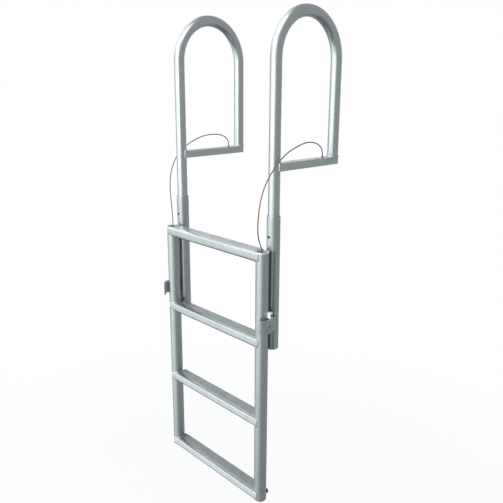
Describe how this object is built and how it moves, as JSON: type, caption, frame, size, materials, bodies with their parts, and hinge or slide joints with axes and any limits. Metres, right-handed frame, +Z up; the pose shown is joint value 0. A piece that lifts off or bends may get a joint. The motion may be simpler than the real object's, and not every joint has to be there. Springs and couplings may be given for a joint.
{
  "type": "dock lift ladder",
  "caption": "Aluminium dock ladder that slides up out of the water: hairpin handrails on deck foot bars, hanging posts, guide brackets, round rails with ribbed steps and slack lift cables.",
  "frame": {"origin": "on the underside of the left foot bar, midway between the two legs of its handrail", "axes": "+X across the ladder from the left side to the right, +Y towards the dock, +Z up"},
  "size_m": [0.5566, 0.4006, 1.6888],
  "materials": {
    "handrail_tube": "mill-finish drawn tube",
    "foot_bar": "mill-finish rectangular tube",
    "post_tube": "mill-finish drawn tube",
    "rail_tube": "mill-finish drawn tube",
    "step_extrusion": "mill-finish ribbed extrusion",
    "bracket_plate": "mill-finish bent strap",
    "weld_bead": "as-welded bead",
    "screw_steel": "dark stainless steel",
    "ferrule_metal": "swaged dull metal",
    "cable_steel": "stranded wire, slightly tarnished",
    "white_nylon": "machined white nylon",
    "bumper_rubber": "moulded grey-black rubber"
  },
  "bodies": {
    "dock_frame": {"left_handrail": "handrail_tube", "left_foot_bar": "foot_bar", "left_foot_welds": "weld_bead", "left_post": "post_tube", "left_set_screw": "screw_steel", "left_guide_bracket": "bracket_plate", "left_cable_anchor": "ferrule_metal", "left_cable": "cable_steel", "right_handrail": "handrail_tube", "right_foot_bar": "foot_bar", "right_foot_welds": "weld_bead", "right_post": "post_tube", "right_set_screw": "screw_steel", "right_guide_bracket": "bracket_plate", "right_cable_anchor": "ferrule_metal", "right_cable": "cable_steel"},
    "sliding_ladder": {"left_rail": "rail_tube", "left_stop_block": "white_nylon", "left_bumper": "bumper_rubber", "left_cable_pin": "ferrule_metal", "right_rail": "rail_tube", "right_stop_block": "white_nylon", "right_bumper": "bumper_rubber", "right_cable_pin": "ferrule_metal", "step_1": "step_extrusion", "step_2": "step_extrusion", "step_3": "step_extrusion", "step_4": "step_extrusion"}
  },
  "joints": [
    {"name": "ladder_lift", "type": "slide", "parent": "dock_frame", "child": "sliding_ladder", "axis": [0, 0, 1], "range_m": [0, 0.5], "deforming": ["left_cable", "right_cable"]}
  ]
}
